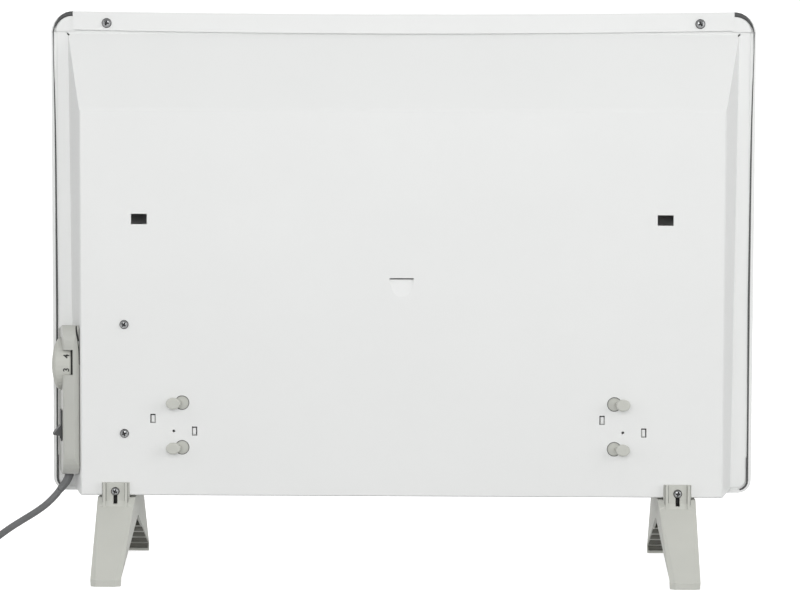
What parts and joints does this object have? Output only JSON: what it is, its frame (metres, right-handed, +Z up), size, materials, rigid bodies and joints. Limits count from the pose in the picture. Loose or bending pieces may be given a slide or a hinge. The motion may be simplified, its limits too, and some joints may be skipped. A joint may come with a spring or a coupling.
{
  "type": "panel convector heater",
  "caption": "Slim electric panel convector heater on moulded feet, with a thermostat knob, a rocker switch and a mains lead at one end, and cord cleats and wall hook slots on its back.",
  "frame": {"origin": "centre of the bounding box in X and Y, on the floor that the feet stand on; the mains lead is left out", "axes": "+X towards the end with the controls, +Y from the front to the back, +Z up"},
  "size_m": [0.7483, 0.2184, 0.469],
  "materials": {
    "white_paint": "fine powder coat, satin",
    "grey_plastic": "light warm grey moulding, satin",
    "dark_plastic": "dark grey moulding",
    "black_plastic": "black moulding",
    "cord_sheath": "dark grey flexible sheath",
    "zinc": "bright zinc plate",
    "aluminium": "mill finish extrusion",
    "steel": "galvanised sheet",
    "ceramic": "unglazed white ceramic",
    "nickel": "nickel plate",
    "red_lead": "red silicone sleeve",
    "blue_lead": "blue silicone sleeve"
  },
  "bodies": {
    "case": {"front_panel": "white_paint", "back_cover": "white_paint", "edge_seal_right": "dark_plastic", "edge_seal_left": "dark_plastic", "outlet_grille": "white_paint", "top_rail": "white_paint", "corner_cap_right": "dark_plastic", "corner_cap_left": "dark_plastic", "rail_screw_right": "zinc", "rail_screw_left": "zinc", "housing_screw_lower": "zinc", "housing_screw_upper": "zinc", "foot_screw_right": "zinc", "foot_screw_left": "zinc", "element_bracket_right": "white_paint", "element_bracket_left": "white_paint", "heating_element": "aluminium", "insulator_right": "ceramic", "insulator_left": "ceramic", "element_terminal_right": "nickel", "element_terminal_left": "nickel", "heat_shield": "steel", "cutout_clip": "steel", "thermal_cutout": "ceramic", "control_housing": "grey_plastic", "control_chassis": "steel", "thermostat": "black_plastic", "thermostat_nut": "zinc", "switch_body": "black_plastic", "cord_cleat_right_upper": "grey_plastic", "cord_cleat_right_lower": "grey_plastic", "cord_cleat_left_upper": "grey_plastic", "cord_cleat_left_lower": "grey_plastic", "foot_right": "grey_plastic", "foot_left": "grey_plastic", "strain_relief": "cord_sheath", "power_cord": "cord_sheath", "cord_coil": "cord_sheath", "cord_tie": "dark_plastic", "plug_body": "cord_sheath", "plug_pin_right": "nickel", "plug_pin_left": "nickel", "lead_supply_live": "red_lead", "lead_supply_neutral": "blue_lead", "lead_switched": "red_lead", "lead_thermostat": "red_lead", "lead_cutout": "red_lead"},
    "knob": {"thermostat_knob": "grey_plastic", "thermostat_spindle": "steel"},
    "rocker": {"power_rocker": "dark_plastic"}
  },
  "joints": [
    {"name": "thermostat_turn", "type": "hinge", "parent": "case", "child": "knob", "pos_m": [0.2741, 0.0057, 0.1733], "axis": [-1, 0, 0], "range_deg": [-70, 170]},
    {"name": "switch_tilt", "type": "hinge", "parent": "case", "child": "rocker", "pos_m": [0.28382, 0.0145, 0.1227], "axis": [-0.2403, 0.9707, 0], "range_deg": [0, 40]}
  ]
}
